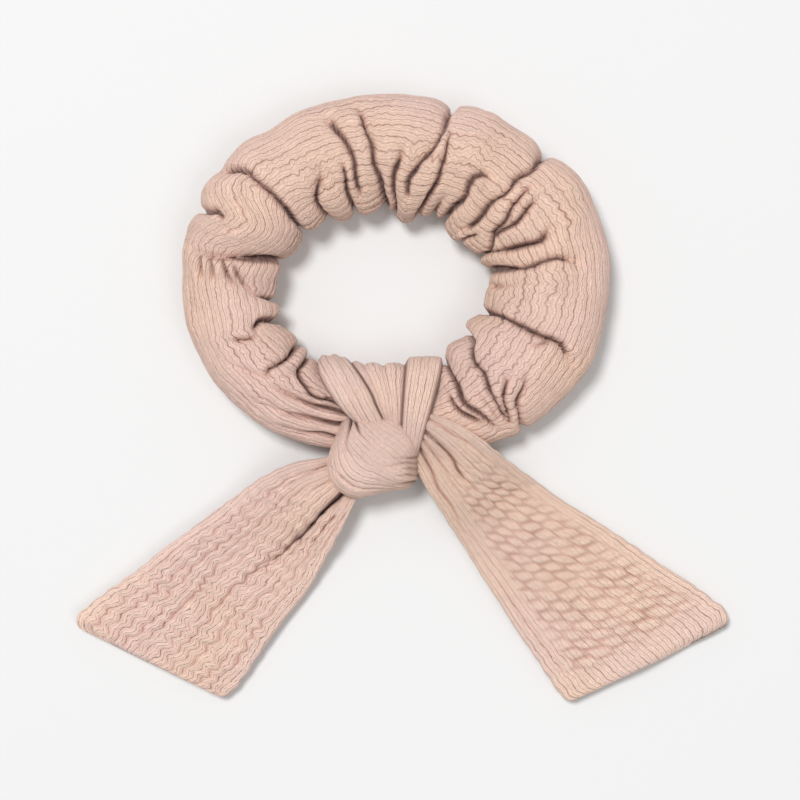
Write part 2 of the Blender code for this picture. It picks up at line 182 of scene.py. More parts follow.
# Stretches of the tube that swell or sink: angle, share across, radius in mm, height in mm
SLEEVE_SWELLS = (
    (160, 0.35, 13, 1.6), (183, 0.5, 10, -1.6), (128, 0.6, 11, 0.9), (55, 0.7, 10, 1),
    (22, 0.75, 12, 0.8), (350, 0.55, 11, 0.7), (328, 0.35, 8, 1), (210, 0.3, 8, 0.8),
    (87, 0.75, 10, 0.8), (240, 0.25, 8, -1.2), (298, 0.3, 6, -1), (313, 0.1, 5, 1.4),
    (307, 0.5, 4, 0.8),
)
NOTCH_ANGLE = 160.0
NOTCH_DETOUR = 7.5  # how far the ribs go round the notch in the outside edge

# The tails, measured from the hinge: s along the tail and t across it, to the left.
# edges is (s, right edge, left edge); root and end are the s at the right and the left edge.
# corner, width and length belong to the flat cloth; puff and waviness raise its upper side.
# root_height falls away over drop. folds has width, lean, and points (s, t, depth).
LEFT_TAIL = {
    "edges": (
        (-8, -4.5, 4.5), (-4, -7.5, 6.6), (2, -12, 9), (10.8, -14.5, 12.2), (20.7, -15.8, 15.1),
        (36.5, -17.6, 17.6), (51.1, -19.2, 20.8), (62, -20.5, 21.6), (74, -21.6, 22.6),
    ),
    "root": (-6, -4),
    "end": (72.2, 58.2),
    "corner": 3.2,
    "width": 38.0,
    "length": 68.0,
    "puff": 0.7,
    "waviness": 1.5,
    "root_height": 7.5,
    "drop": 27.0,
    "folds": (
        (4.6, -1.5, (
            (-3, 2.6, 4.2), (5.9, 3.2, 4.8), (13.2, 3.6, 4), (20.7, 3.6, 2.6), (27, 2.7, 1.4), (34, 2.2, 0),
        )),
        (1.6, 0.0, ((-4, -1.2, 1.2), (6, -2.4, 0.8), (16, -4.6, 0))),
        (1.8, 0.3, ((-4, -5, 1.4), (4, -7.6, 0.9), (15, -9.6, 0))),
        (1.6, 0.0, ((2, 7.4, 1.2), (10, 9.6, 0.8), (22, 12.4, 0))),
        (1.4, 0.0, ((4, 6, 1.6), (12, 6.6, 1.2), (19, 7.2, 0))),
    ),
}
RIGHT_TAIL = {
    "edges": (
        (-17, 4, 10), (-12, 3.8, 14.4), (-6, 2.4, 17), (-1, -0.6, 17.9), (4, -2, 18.2),
        (13.5, -5, 18.3), (27.5, -9.8, 18.9), (40.9, -13.9, 20.9), (52, -17.4, 21.9), (65, -20.9, 23.5),
        (86, -25, 25),
    ),
    "root": (-5, -17),
    "end": (66, 83.6),
    "corner": 4.0,
    "width": 42.0,
    "length": 76.0,
    "puff": 0.7,
    "waviness": 1.4,
    "root_height": 9.0,
    "drop": 27.0,
    "folds": (
        (2.6, 0.5, (
            (-14, 10.8, 2.6), (-0.6, 10.1, 2.2), (4, 8.2, 2.4), (8.5, 7.2, 1.6), (15, 7.1, 0.9),
            (20, 7.4, 0),
        )),
        (1.8, 0.4, ((-12, 8, 2), (4.9, 0.8, 1.5), (11.7, -1.8, 1.1), (29, -5.3, 0))),
        (1.5, 0.0, ((-15, 12.6, 1.4), (2, 14.8, 1), (13, 15.2, 0.5), (24, 15.6, 0))),
        (1.5, 0.0, ((-12, 9.4, 1.5), (4, 5.2, 0.9), (12, 3.6, 0))),
        (1.4, 0.0, ((26, -6.4, 0), (40, -10.2, 0.8), (58, -15, 0.7), (66, -17, 0))),
    ),
}
TAIL_LIE = 2.9  # height of the middle of a tail's thickness where it lies on the table
TAIL_ROWS = 236
TAIL_TOP_COLUMNS = 176
TAIL_UNDER_COLUMNS = 60

# The slanting cells in the right tail's knit
CELL_LENGTH = 6.6
CELL_HEIGHT = 2.45
CELL_SLANT = 49.0
CELL_STRETCH = 1.7  # a step along a cell counts as this many across it, measured in its length and height
CELL_SHEAR = 0.32  # how far a cell's ends slant, as a share of its length

# The sash's turns
WRAP_MIDDLE_HEIGHT = 9.3
WRAP_HALF_HEIGHT = (8.0, 8.2)  # below and above
WRAP_COLUMNS = 156
WRAP_ROWS = 200

# The knot, seen from above, and its outline round its centre: (angle, radius)
KNOT_CENTRE = np.array([-6.7, -14.8])
KNOT_OUTLINE = (
    (0, 11.5), (8, 11.8), (26, 12.8), (42, 12.9), (60, 12.4), (75, 12.2), (92, 12.3), (106, 12.6),
    (120, 13), (132, 12.4), (150, 11.3), (170, 11.4), (190, 12.2), (206, 12.7), (222, 12.5),
    (236, 11.9), (252, 10.9), (270, 9.6), (286, 9.2), (304, 10), (320, 12), (332, 13), (346, 12),
)
KNOT_FOLDS = (
    (1.3, 0.2, ((11.2, -0.2, 0.9), (8.6, -0.5, 0.9), (5, 0.1, 0.4), (1.4, 1.6, 0))),
    (1.0, 0.0, ((11.4, -2.2, 0.7), (8.4, -1.9, 0.8), (3.5, -1.4, 0.4), (-0.9, -0.2, 0))),
    (1.0, 0.0, ((11.4, -3.5, 0.7), (8.8, -3.3, 0.8), (6.2, -3.1, 0))),
    (1.0, 0.0, ((11.6, -4.7, 0.7), (9, -4.6, 0.8), (5.4, -4.3, 0))),
    (1.3, -0.3, ((12.2, -6, 1.1), (9.6, -6.5, 1.1), (6.5, -6.9, 0.7), (3.2, -7, 0))),
    (1.2, 0.0, ((-5.1, 10.8, 1.6), (-3.9, 6.8, 1), (-0.9, 3.7, 0.3), (2, 1.9, 0))),
    (1.2, 0.0, ((-6, 10.6, 1.8), (-7.1, 6.6, 1), (-7.2, 3.6, 0.8), (-5.1, 1, 0.5), (-1.5, -1.7, 0))),
    (1.2, 0.3, ((-11.4, -0.8, 0), (-8.9, -4.3, 0.8), (-5.1, -7.3, 0.8), (-0.9, -8.2, 0.5), (4, -8.2, 0))),
)
KNOT_MIDDLE_HEIGHT = 9.6
KNOT_RISE = 10.4
KNOT_FALL = 8.8
KNOT_ROWS = 300
KNOT_TOP_COLUMNS = 110
KNOT_UNDER_COLUMNS = 30
# The knot's ribs run round two points, beyond its upper left and its right.
RIBS_FROM = (-10.1, 16.9)
RIBS_TO = (18.9, -6.1)
RIB_SPREAD = 18.2  # mm across the ribs, for each radian between the two points


# Numbers


def smooth(x):
    """0 below 0, 1 above 1, and smooth between."""
    x = np.clip(x, 0, 1)
    return x * x * (3 - 2 * x)


def bell(x, width):
    """1 at 0, falling away smoothly to both sides over about twice this width."""
    return np.exp(-((x / width) ** 2))


def signed_power(x, power):
    """x to this power, with the sign of x."""
    return np.sign(x) * np.abs(x) ** power


def angle_from(angle, other):
    """The turn from the other angle to this one, between -180 and 180 degrees."""
    return (angle - other + 180) % 360 - 180


def ripple(x, y, size, seed):
    """Smooth unevenness between about -1 and 1, whose bumps are about size across."""
    waves, full_height = 9, 4.2
    random = np.random.default_rng(seed)
    total = np.zeros(np.broadcast(x, y).shape)
    for _ in range(waves):
        heading, phase = random.uniform(0, 2 * np.pi, 2)
        wave = size * random.uniform(1.2, 2.6)
        along = x * math.cos(heading) + y * math.sin(heading)
        total += np.sin(2 * np.pi * along / wave + phase)
    return total / full_height


def round_interpolate(angles, table, column):
    """Values of a table's column at these angles, smoothly, all the way round."""
    known = np.array([row[0] for row in table], float)
    values = np.array([row[column] for row in table], float)
    known = np.concatenate([known - 360, known, known + 360])
    values = np.tile(values, 3)
    spread = np.arange(-4, 4.5, 0.5)
    weights = bell(spread, 2.5)
    samples = [np.interp((angles % 360) + step, known, values) for step in spread]
    return np.tensordot(weights / weights.sum(), samples, 1)


def spline_points(points, count):
    """A smooth line through points, sampled evenly by its own length."""
    points = np.array(points, float)
    padded = np.vstack([2 * points[0] - points[1], points, 2 * points[-1] - points[-2]])
    fine = []
    for a, b, c, d in zip(padded, padded[1:], padded[2:], padded[3:]):
        t = np.linspace(0, 1, 24, endpoint=False)[:, None]
        cubic = 2 * b + (c - a) * t + (2 * a - 5 * b + 4 * c - d) * t**2
        fine.append((cubic + (3 * b - a - 3 * c + d) * t**3) / 2)
    fine = np.vstack([*fine, points[-1:]])
    lengths = np.linalg.norm(np.diff(fine, axis=0), axis=1)
    reached = np.concatenate([[0], np.cumsum(lengths)])
    even = np.linspace(0, reached[-1], count)
    return np.stack([np.interp(even, reached, fine[:, k]) for k in range(points.shape[1])], 1)


def grid_normals(points, closed_rows, closed_columns):
    """Normals of a grid, outwards where its columns turn left seen along its rows."""
    def slope(axis, closed):
        if closed:
            return np.roll(points, -1, axis) - np.roll(points, 1, axis)
        return np.gradient(points, axis=axis)

    normals = np.cross(slope(0, closed_rows), slope(1, closed_columns))
    return normals / np.maximum(np.linalg.norm(normals, axis=2, keepdims=True), 1e-9)


def raise_floor(points, lowest):
    """No point lies lower than this."""
    points[..., 2] = np.maximum(points[..., 2], lowest)


# Folds


def roll_profile(distance, width):
    """1 on the crease and 0 beyond width, rounded like two rolls of cloth that meet."""
    inside = np.clip(1 - distance / width, 0, 1)
    return 1 - np.sqrt(np.maximum(1 - inside**2, 0))


def nearest_on_fold(x, y, line):
    """Each place's distance from the fold, the fold's depth there, and the side the place is on."""
    nearest = np.full(x.shape, np.inf)
    depth, side = np.zeros(x.shape), np.zeros(x.shape)
    for (ax, ay, a_depth), (bx, by, b_depth) in zip(line, line[1:]):
        dx, dy = bx - ax, by - ay
        along = np.clip(((x - ax) * dx + (y - ay) * dy) / (dx * dx + dy * dy), 0, 1)
        distance = np.hypot(x - ax - along * dx, y - ay - along * dy)
        closer = distance < nearest
        nearest = np.where(closer, distance, nearest)
        depth = np.where(closer, a_depth + (b_depth - a_depth) * along, depth)
        side = np.where(closer, np.sign(dx * (y - ay) - dy * (x - ax)), side)
    return nearest, np.maximum(depth, 0), side


def fold_depth(places, folds):
    """How the folds press into the cloth at these places, seen from above.

    Returns the depth of the rolls beside each fold, the depth of the narrow gap between two rolls
    that is left over, and the lift of the side that a fold leans to.
    """
    x = places[..., 0] + 0.5 * ripple(places[..., 0], places[..., 1], 5, 11)
    y = places[..., 1] + 0.5 * ripple(places[..., 0], places[..., 1], 5, 12)
    rolls, gaps, lift = np.zeros(x.shape), np.zeros(x.shape), np.zeros(x.shape)
    for width, lean, points in folds:
        nearest, depth, side = nearest_on_fold(x, y, spline_points(points, 14))
        rolled = np.minimum(depth, ROLL_DEPTH * width)
        rolls += (rolled * roll_profile(nearest, width)) ** 3
        gaps += (np.minimum(depth - rolled, GAP_DEPTH) * bell(nearest, GAP_WIDTH)) ** 3
        deepest = max(point[2] for point in points)
        lift += lean * side * (depth / deepest) * bell(nearest, 1.6 * width)
    return np.cbrt(rolls), np.cbrt(gaps), lift


def ring_place(angle, share):
    """A point on the ring seen from above: share 0 is its hole's edge and 1 its outside edge."""
    inner = round_interpolate(np.array([angle], float), RING_OUTLINE, 1)[0]
    outer = round_interpolate(np.array([angle], float), RING_OUTLINE, 2)[0]
    radius = inner + share * (outer - inner)
    turn = math.radians(angle)
    return RING_CENTRE + radius * np.array([math.cos(turn), math.sin(turn)])


def sleeve_folds():
    """The sleeve's folds with their points as x, y and depth."""
    for width, lean, points in SLEEVE_FOLDS:
        placed = [(*ring_place(angle, share), depth * FOLD_DEEPENING) for angle, share, depth in points]
        yield width * FOLD_WIDENING, lean, placed


# Knit


def rib_relief(v):
    """Fine ribs at this distance across the knit: 0 between two and 1 on a rib."""
    return np.sqrt(0.5 + 0.5 * np.cos(2 * np.pi * v / RIB_PITCH))


def groove_relief(u, v, width=GROOVE_WIDTH):
    """The grooves between every second rib, some deep and some faint: 0 in one and 1 away from it."""
    count = np.floor(v / GROOVE_PITCH + 0.5)
    distance = (v / GROOVE_PITCH - count) * GROOVE_PITCH
    chance = np.sin(count * 12.9898) * 43758.5453
    strength = 0.35 + 0.65 * (chance - np.floor(chance))
    fading = 0.75 + 0.35 * np.sin(u / 7.0 + 2.4 * count)
    return 1 - np.clip(strength * fading, 0, 1) * bell(distance, width)


def slanted_saw(x, rise):
    """A wave from -0.5 to 0.5 that climbs over this share of each turn and falls over the rest."""
    turns = [(x + blur) % 1 for blur in (-0.09, -0.045, 0, 0.045, 0.09)]
    return np.mean([np.where(t < rise, t / rise, (1 - t) / (1 - rise)) for t in turns], 0) - 0.5


def staggered_cells(u, v):
    """Short rolls of knit laid like bricks at a slant: 0 between them, about 1 in their middles."""
    slant = math.radians(CELL_SLANT)
    along = (u * math.cos(slant) + v * math.sin(slant)) / CELL_LENGTH
    across = (v * math.cos(slant) - u * math.sin(slant)) / CELL_HEIGHT
    nearest, second = np.full(along.shape, np.inf), np.full(along.shape, np.inf)
    for row in (np.rint(across) + step for step in (-1, 0, 1)):
        shifted = along - 0.5 * (row % 2)
        for column in (np.rint(shifted) + step for step in (-1, 0, 1)):
            aside = shifted - column + CELL_SHEAR * (across - row)
            away = np.hypot(CELL_STRETCH * aside, across - row)
            second = np.minimum(second, np.maximum(nearest, away))
            nearest = np.minimum(nearest, away)
    return second - nearest


# Meshes


def grid_quads(rows, columns, closed_rows, closed_columns):
    """The faces of a grid, by row and column, as numbers of its points."""
    index = np.arange(rows * columns).reshape(rows, columns)
    next_row = np.roll(index, -1, 0)
    next_column = np.roll(index, -1, 1)
    corner = np.roll(next_row, -1, 1)
    quads = np.stack([index, next_row, corner, next_column], -1)
    return quads[: rows if closed_rows else rows - 1, : columns if closed_columns else columns - 1]


def corner_uv(uv, quads):
    """Knit coordinates at each face's corners. They run on past a closed grid's seams."""
    past = np.pad(uv / UV_MM, ((0, 1), (0, 1), (0, 0)), mode="reflect", reflect_type="odd")
    corners = np.stack([past[:-1, :-1], past[1:, :-1], past[1:, 1:], past[:-1, 1:]], 2)
    return corners[: quads.shape[0], : quads.shape[1]].reshape(-1, 2)


def grid_piece(name, points, uv, closed, shades, hidden=None):
    """An object from a grid of points, with its knit coordinates and its attributes of painted shade in
    grooves and creases.

    closed says whether its rows and its columns meet. hidden is more points and faces to add.
    """
    quads = grid_quads(*points.shape[:2], *closed)
    uv_corners = corner_uv(uv, quads)
    quads = quads.reshape(-1, 4)
    coordinates = points.reshape(-1, 3)
    values = {key: value.reshape(-1) for key, value in shades.items()}
    if hidden is not None:
        hidden_points, hidden_quads = hidden
        quads = np.vstack([quads, hidden_quads + len(coordinates)])
        coordinates = np.vstack([coordinates, hidden_points])
        uv_corners = np.vstack([uv_corners, np.zeros((hidden_quads.size, 2))])
        unshaded = np.zeros(len(hidden_points))
        values = {key: np.concatenate([value, unshaded]) for key, value in values.items()}
    mesh = quad_mesh(name, coordinates, quads)
    layer = mesh.uv_layers.new(name="knit")
    layer.data.foreach_set("uv", uv_corners.astype(np.float32).ravel())
    for key, value in values.items():
        attribute = mesh.attributes.new(key, "FLOAT", "POINT")
        attribute.data.foreach_set("value", value.astype(np.float32))
    mesh.update(calc_edges=True)
    mesh.validate()
    mesh.shade_smooth()
    piece = bpy.data.objects.new(name, mesh)
    bpy.context.scene.collection.objects.link(piece)
    return piece


def quad_mesh(name, coordinates, quads):
    """A mesh in metres from points in millimetres and four-sided faces."""
    mesh = bpy.data.meshes.new(name)
    mesh.vertices.add(len(coordinates))
    mesh.vertices.foreach_set("co", (coordinates * MM).astype(np.float32).ravel())
    mesh.loops.add(quads.size)
    mesh.loops.foreach_set("vertex_index", quads.ravel().astype(np.int32))
    mesh.polygons.add(len(quads))
    mesh.polygons.foreach_set("loop_start", np.arange(0, quads.size, 4, dtype=np.int32))
    return mesh


def close_ends(piece):
    """Sews up the ends, where the upper and lower faces meet, and faces every side outwards."""
    mesh = bmesh.new()
    mesh.from_mesh(piece.data)
    bmesh.ops.remove_doubles(mesh, verts=mesh.verts, dist=2e-6)
    rim = [edge for edge in mesh.edges if edge.is_boundary]
    bmesh.ops.holes_fill(mesh, edges=rim, sides=0)
    bmesh.ops.recalc_face_normals(mesh, faces=mesh.faces)
    mesh.to_mesh(piece.data)
    mesh.free()
    piece.data.shade_smooth()


def stand_for(piece, node, material):
    """The piece takes a node's place: it gets its own material and the node is hidden."""
    piece.data.materials.append(material)
    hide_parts(node)


def metres(*lengths):
    return tuple(length * MM for length in lengths)


def stretch_with_ring(piece):
    """Bakes the piece's transform into its mesh."""
    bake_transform(piece)


# Sleeve


def sleeve_stations():
    """Angles along the tube, and places round its section, closer together where it is seen."""
    along = BOW_ANGLE + np.linspace(0, 360, SLEEVE_ROWS, endpoint=False)
    upper = np.linspace(-30, 210, SLEEVE_TOP_COLUMNS, endpoint=False)
    under = np.linspace(210, 330, SLEEVE_UNDER_COLUMNS, endpoint=False)
    return along, np.radians(np.concatenate([upper, under]))


def sleeve_base(along, around):
    """The tube before it is folded."""
    inner = round_interpolate(along, RING_OUTLINE, 1)[:, None]
    outer = round_interpolate(along, RING_OUTLINE, 2)[:, None]
    low = round_interpolate(along, RING_HEIGHTS, 1)[:, None]
    top = round_interpolate(along, RING_HEIGHTS, 2)[:, None]
    across = signed_power(np.cos(around)[None], TUBE_ROUNDNESS[0])
    up = signed_power(np.sin(around)[None], TUBE_ROUNDNESS[1])
    radius = (inner + outer) / 2 + across * (outer - inner) / 2
    reach = np.where(up > 0, top - TUBE_AXIS_HEIGHT, TUBE_AXIS_HEIGHT - low)
    height = TUBE_AXIS_HEIGHT + up * reach
    turn = np.radians(along)[:, None]
    x = RING_CENTRE[0] + radius * np.cos(turn)
    y = RING_CENTRE[1] + radius * np.sin(turn)
    return np.stack([x, y, height], -1)


def sleeve_swelling(x, y):
    """How far the tube swells between its folds, seen from above."""
    swelling = 0.45 * ripple(x, y, 7, 3)
    for angle, share, radius, height in SLEEVE_SWELLS:
        centre = ring_place(angle, share)
        swelling += height * bell(np.hypot(x - centre[0], y - centre[1]), radius)
    return swelling


def room_in_tube(along):
    """How deep a fold may go without meeting the tube's far side: less at the pinched waist."""
    from_bow = np.abs(angle_from(along, BOW_ANGLE))
    return (3.2 + 3.6 * smooth((from_bow - 14) / 26))[:, None]


def spread_deepest(depth, reach):
    """Each place takes the greatest depth within reach grid steps of it."""
    for axis in (0, 1):
        depth = np.max([np.roll(depth, step, axis) for step in range(-reach, reach + 1)], 0)
    return depth


def inner_side(points, normals, depth):
    """The cloth's hidden side, on a coarser grid: it passes below the deepest fold near it."""
    step, spare = 3, 0.9
    below = spread_deepest(depth, 7) + CLOTH_THICKNESS + spare
    inside = (points - normals * below[..., None])[::step, ::step]
    facing_in = grid_quads(*inside.shape[:2], True, True)[..., [0, 3, 2, 1]]
    return inside.reshape(-1, 3), facing_in.reshape(-1, 4)


def sleeve_knit(along, around, x, y):
    """Knit coordinates on the sleeve, and how slack its cloth is: slack ribs run less straight."""
    v = around / (2 * np.pi) * RIBS_ROUND_SLEEVE * RIB_PITCH
    inwards = np.clip(around / np.pi, 0, 1)[None]
    near_notch = bell(angle_from(along[:, None], NOTCH_ANGLE), 4.5 + 7 * inwards)
    on_top = smooth((1.0 - inwards) / 0.5) * smooth((around[None] + 0.5) / 0.5)
    v = v - NOTCH_DETOUR * near_notch * on_top
    u = np.broadcast_to(np.radians(along)[:, None] * 60, v.shape)
    slack = smooth(0.4 + 0.9 * ripple(x, y, 11, 5))
    v = v + (0.15 + 0.55 * slack) * ripple(u, v, 4.5, 6) + 0.22 * slack * np.sin(2 * np.pi * u / 3.4)
    return u, v, slack


def build_sleeve(material):
    """The gathered tube of ribbed knit. Also returns its points, for the tail that lies on it."""
    along, around = sleeve_stations()
    base = sleeve_base(along, around)
    x, y = base[..., 0], base[..., 1]
    normals = grid_normals(base, True, True)
    rolls, gaps, lean = fold_depth(base[..., :2], sleeve_folds())
    room = room_in_tube(along)
    depth = room * np.tanh((rolls + gaps) / room)
    lift = (lean + sleeve_swelling(x, y)) * smooth((normals[..., 2] + 0.2) / 0.6)
    press = depth * (0.35 + 0.65 * smooth((normals[..., 2] + 1) / 0.6))
    folded = base + normals * (lift - press)[..., None]
    raise_floor(folded, 0.25)
    u, v, slack = sleeve_knit(along, around, x, y)
    groove = groove_relief(u, v)
    relief = 0.06 * rib_relief(v) + (0.2 + 0.34 * slack) * groove - 0.4
    cloth = folded + grid_normals(folded, True, True) * relief[..., None]
    raise_floor(cloth, TABLE_CLEARANCE)
    # Painted shade: groove darkens the grooves between ribs, more where the cloth is slack, and crease
    # darkens the gaps and rolls of the folds.
    shades = {
        "groove": np.clip((1 - groove) * (0.3 + 0.5 * slack), 0, 1),
        "crease": np.clip(gaps / GAP_DEPTH + rolls / 20, 0, 1),
    }
    hidden = inner_side(base, normals, press - lift)
    sleeve = grid_piece("sleeve_cloth", cloth, np.stack([u, v], -1), (True, True), shades, hidden)
    stand_for(sleeve, "sleeve", material)
    stretch_with_ring(sleeve)
    return cloth


# Tails


class Cover:
    """How high a cloth thrown over some points would lie, at any x and y."""

    step = 1.0  # mm between the places where the height is known
    slope = 0.75  # how steeply the cloth falls away
    reach = 30  # and over how many steps
    low, size = -100.0, 201
    nothing = -50.0

    def __init__(self, points):
        flat = points.reshape(-1, 3)
        field = np.full((self.size, self.size), self.nothing)
        column = np.rint((flat[:, 0] - self.low) / self.step).astype(int)
        row = np.rint((flat[:, 1] - self.low) / self.step).astype(int)
        np.maximum.at(field, (row, column), flat[:, 2])
        neighbours = [(r, c) for r in (-1, 0, 1) for c in (-1, 0, 1) if r or c]
        falls = [self.slope * self.step * math.hypot(*neighbour) for neighbour in neighbours]
        for _ in range(self.reach):
            slopes = [np.roll(field, n, (0, 1)) - fall for n, fall in zip(neighbours, falls)]
            field = np.max([field, *slopes], 0)
        self.field = field

    def height(self, x, y):
        column = np.clip((x - self.low) / self.step, 0, self.size - 1.001)
        row = np.clip((y - self.low) / self.step, 0, self.size - 1.001)
        c, r = column.astype(int), row.astype(int)
        right, down = column - c, row - r
        upper = self.field[r, c] * (1 - right) + self.field[r, c + 1] * right
        lower = self.field[r + 1, c] * (1 - right) + self.field[r + 1, c + 1] * right
        return upper * (1 - down) + lower * down


def tail_edges(tail, s):
    """Where the tail's right and left edges are at this distance along it."""
    known = np.array(tail["edges"], float)
    even = np.linspace(known[0, 0], known[-1, 0], 200)
    for column in (1, 2):
        samples = [np.interp(even + shift, known[:, 0], known[:, column]) for shift in range(-4, 5)]
        yield np.interp(s, even, np.mean(samples, 0))


def tail_grid(tail):
    """Places on a flat tail: s, t, the share across from -1 to 1, the face, and how far the edges are."""
    top = np.linspace(-1, 1, TAIL_TOP_COLUMNS, endpoint=False)
    under = np.linspace(1, -1, TAIL_UNDER_COLUMNS, endpoint=False)
    even = np.concatenate([top, under])
    share = 0.8 * even + 0.2 * np.sin(np.pi / 2 * even)
    face = np.concatenate([np.ones(TAIL_TOP_COLUMNS), -np.ones(TAIL_UNDER_COLUMNS)])
    f = np.linspace(0, 1, TAIL_ROWS)
    f = (0.93 * f + 0.07 * np.sin(np.pi / 2 * f))[:, None]
    start, end = (right + (left - right) * (share + 1) / 2 for right, left in (tail["root"], tail["end"]))
    s = start + f * (end - start)
    to_end = (1 - f) * (end - start)
    right, left = tail_edges(tail, s)
    radius = tail["corner"]
    corner = np.clip(radius - to_end, 0, radius)
    rounding = radius - np.sqrt(np.maximum(radius**2 - corner**2, 0))
    wobble = 0.22 * ripple(s, 5 * np.sign(share) + 0 * s, 2.6, 71) * smooth(s / 8)
    half = (left - right) / 2 - rounding + wobble
    t = (left + right) / 2 + share * half
    to_side = (1 - np.abs(share)) * half
    return s, t, share, face, to_side, to_end


def tail_heights(tail, x, y, s, t, face, to_side, to_end, cover):
    """The tail's height with its folds, and the depths of their rolls and gaps."""
    to_edge = np.minimum(to_side, to_end)
    rim = np.clip(to_edge / 2.2, 0, 1)
    rooted = smooth((s + 6) / 14)
    puff = tail["puff"] * (1 - np.exp(-to_edge / 7)) * rooted
    half_thickness = (0.9 + 0.7 * rooted + puff) * np.sqrt(1 - (1 - rim) ** 2)
    middle = TAIL_LIE + tail["root_height"] * (1 - smooth((s + 2) / tail["drop"]))
    if cover is not None:
        middle = np.maximum(middle, cover.height(x, y) + 1.1 + 0.8 * rooted)
    middle = middle + 0.5 * tail["waviness"] * smooth(s / 20) * (1 + ripple(s, t, 16, 21))
    rolls, gaps, lean = fold_depth(np.stack([s, t], -1), tail["folds"])
    press = np.minimum(rolls + gaps, middle - 0.4)
    z = middle + lean * rim + face * half_thickness - np.where(face > 0, press, 0.45 * press)
    return np.maximum(z, np.where(face > 0, 0.9, TABLE_CLEARANCE)), rolls, gaps


def build_tail(side, tail, knit_of, material, cover=None):
    """A tail of the sash, laid out from its hinge's place and falling from the knot to the table."""
    s, t, share, face, to_side, to_end = tail_grid(tail)
    joint = JOINTS[f"tail_{side}_lift"]
    hinge = np.array(joint["pos_m"]) / MM
    along = np.array([-joint["axis"][1], joint["axis"][0], 0])
    x = hinge[0] + s * along[0] - t * along[1]
    y = hinge[1] + s * along[1] + t * along[0]
    z, rolls, gaps = tail_heights(tail, x, y, s, t, face, to_side, to_end, cover)
    v, groove, slack, swell = knit_of(s, share * tail["width"] / 2 + 0 * s, to_side, to_end)
    relief = 0.08 * rib_relief(v) + (0.22 + 0.3 * slack) * groove + 0.3 * slack * swell * groove
    to_rim = 0.25 + 0.75 * smooth(to_side / 0.8)
    relief = (relief * to_rim - 0.2) * smooth(to_end / 1.2)
    base = np.stack([x, y, z], -1)
    cloth = base + grid_normals(base, False, True) * relief[..., None]
    raise_floor(cloth, TABLE_CLEARANCE)
    # Painted shade in the grooves and in the hollows between the slack swells and cells, and in the gaps and
    # rolls of the tail's folds.
    painted_groove_shade = (1 - groove) * (0.35 + 0.45 * slack * (1.3 - swell)) + 0.18 * slack * (1 - swell)
    shades = {
        "groove": np.clip(painted_groove_shade, 0, 1),
        "crease": np.clip(gaps / 1.6 + rolls / 8, 0, 1),
    }
    name = f"sash_tail_{side}"
    piece = grid_piece(f"{name}_cloth", cloth, np.stack([s, v], -1), (False, True), shades)
    close_ends(piece)
    stand_for(piece, name, material)
    start, end = hinge - 2 * along, hinge + tail["drop"] * along
    metres(*start)
    metres(*end)
    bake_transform(piece)


def left_tail_knit(s, v, to_side, to_end):
    """Grooves that zigzag down the middle and run straight along both edges."""
    slack = smooth((to_side - 1.0) / 3.5) * smooth((s + 2) / 14) * smooth((to_end + 1) / 3)
    uneven = 0.7 + 0.45 * ripple(s, v, 7, 34)
    turn = (s + 1.5 * ripple(s, v, 7, 32)) / 4.2 + 0.08 * v
    bent = v + 0.7 * ripple(s, v, 12, 31) + 0.35 * slack * ripple(s, v, 2.6, 35)
    zigzag = bent + 1.45 * slack * uneven * slanted_saw(turn, 0.6)
    swell = np.cos(2 * np.pi * (turn - 0.3)) * 0.5 + 0.5
    return zigzag, groove_relief(s, zigzag, GROOVE_WIDTH + 0.2 * slack), slack, swell


def right_tail_knit(s, v, to_side, to_end):
    """Slanting cells in the middle, and straight grooves along the edges and the end."""
    slack = smooth((to_side - 1.5 - 3 * (v < 0)) / 4) * smooth(s / 14) * smooth((to_end - 5) / 4)
    bent = v + 0.3 * ripple(s, v, 12, 43)
    cells = staggered_cells(s + 0.7 * ripple(s, v, 9, 41), bent + 0.28 * ripple(s, v, 5, 45))
    strength = np.clip(0.5 + 0.3 * ripple(s, v, 5, 44), 0, 1)
    between = 1 - strength * bell(cells, 0.24)
    straight = groove_relief(s, bent)
    return bent, straight + slack * (between - straight), slack, smooth(cells / 0.6)


# The sash's turns


def wrap_bands(w, a, near_knot):
    """The turns across their width: a roll, gathers and a flat band.

    Returns how far each stands out, the distance across the knit, and the distance to the gaps
    between the bands, as a share of the width.
    """
    first, second = 0.27 + 0.30 * near_knot, 0.70
    roll = np.clip(w / first, 0, 1)
    gathers = np.clip((w - first) / (second - first), 0, 1)
    band = np.clip((w - second) / (1 - second), 0, 1)
    ridges = 0.3 * np.cos(2 * np.pi * (3.2 * roll + 0.25 * np.sin(a))) * np.sin(np.pi * roll)
    rolled = 2.1 * np.sqrt(np.clip(1 - (2 * roll - 1) ** 2, 0, 1)) - 0.6 + ridges
    sunk = -0.9 + 0.8 * np.abs(np.sin(3.1 * np.pi * gathers**0.8))
    flat = 1.5 * np.clip(1 - (2 * band - 1) ** 12, 0, 1) - 0.5
    bands = [w < first, w < second]
    offset = np.select(bands, [rolled, sunk], flat)
    v = np.select(bands, [roll * 12, 14.4 + gathers * 12], 28.8 + band * 12)
    return offset, v, np.minimum(np.abs(w - first), np.abs(w - second))


